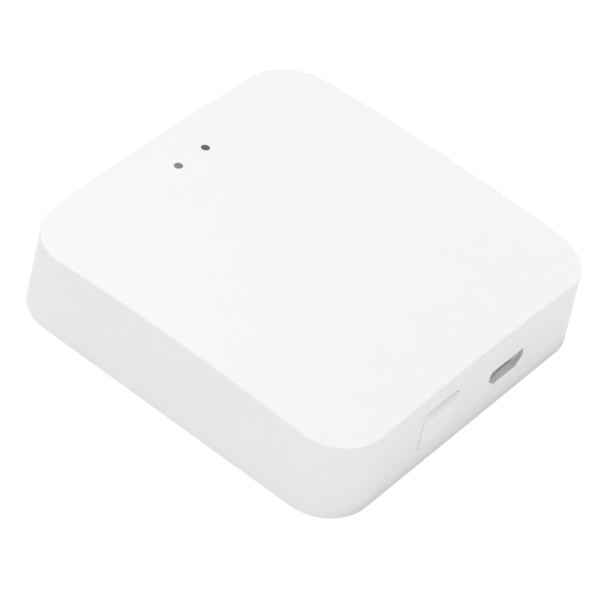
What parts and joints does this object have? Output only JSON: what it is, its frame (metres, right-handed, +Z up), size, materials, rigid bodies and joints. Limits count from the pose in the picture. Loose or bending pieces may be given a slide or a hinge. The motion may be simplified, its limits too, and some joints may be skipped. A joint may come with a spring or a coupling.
{
  "type": "smart home hub",
  "caption": "Small square smart home hub in white plastic with a crowned top, status lights, a side reset button and a micro power socket.",
  "frame": {"origin": "on the table plane, under the middle of the hub", "axes": "+Z up, -Y out of the side with the power socket and the reset button, +X to the right when that side is seen from in front"},
  "size_m": [0.06, 0.06, 0.0156],
  "materials": {
    "housing_plastic": "fine matte white moulded plastic",
    "button_plastic": "fine matte white moulded plastic",
    "base_plastic": "fine matte white moulded plastic",
    "foot_rubber": "soft grey rubber, slightly dusty",
    "board_laminate": "green solder mask over glass-fibre laminate",
    "module_laminate": "dark blue solder mask",
    "plated_steel": "tin-plated sheet steel",
    "screw_steel": "zinc-plated steel",
    "socket_plastic": "black moulded insulator",
    "contact_gold": "gold-plated contact",
    "antenna_copper": "gold-plated copper trace",
    "lens_plastic": "smoky clear light guide",
    "led_package": "clear resin on a white base",
    "shade_foam": "black closed-cell foam",
    "switch_plastic": "black moulded plastic",
    "plunger_plastic": "cream moulded plastic",
    "chip_epoxy": "black moulding compound",
    "ferrite": "dark grey ferrite",
    "drum_aluminium": "bare drawn aluminium",
    "ceramic": "tan ceramic",
    "resistor_film": "black glazed film"
  },
  "bodies": {
    "housing": {"upper_housing": "housing_plastic", "base_cover": "base_plastic", "rubber_foot_1": "foot_rubber", "rubber_foot_2": "foot_rubber", "rubber_foot_3": "foot_rubber", "rubber_foot_4": "foot_rubber", "main_board": "board_laminate", "board_screws": "screw_steel", "socket_shell": "plated_steel", "socket_tongue": "socket_plastic", "socket_contacts": "contact_gold", "switch_body": "switch_plastic", "switch_frame": "plated_steel", "switch_dome": "plated_steel", "left_status_led": "led_package", "right_status_led": "led_package", "left_light_pipe": "lens_plastic", "right_light_pipe": "lens_plastic", "light_shade": "shade_foam", "network_module_board": "module_laminate", "network_shield_can": "plated_steel", "network_antenna": "antenna_copper", "network_radio_chip": "chip_epoxy", "mesh_module_board": "module_laminate", "mesh_shield_can": "plated_steel", "mesh_antenna": "antenna_copper", "mesh_radio_chip": "chip_epoxy", "input_fuse": "ceramic", "surge_clamp": "chip_epoxy", "voltage_regulator": "chip_epoxy", "power_inductor": "ferrite", "electrolytic_capacitor": "drum_aluminium", "flash_chip": "chip_epoxy", "clock_crystal": "plated_steel", "ceramic_capacitors": "ceramic", "resistors": "resistor_film"},
    "button": {"reset_button": "button_plastic", "switch_plunger": "plunger_plastic"}
  },
  "joints": [
    {"name": "button_press", "type": "slide", "parent": "housing", "child": "button", "axis": [0, 1, 0], "range_m": [0, 0.00025], "stiffness_N_per_m": 4500}
  ]
}
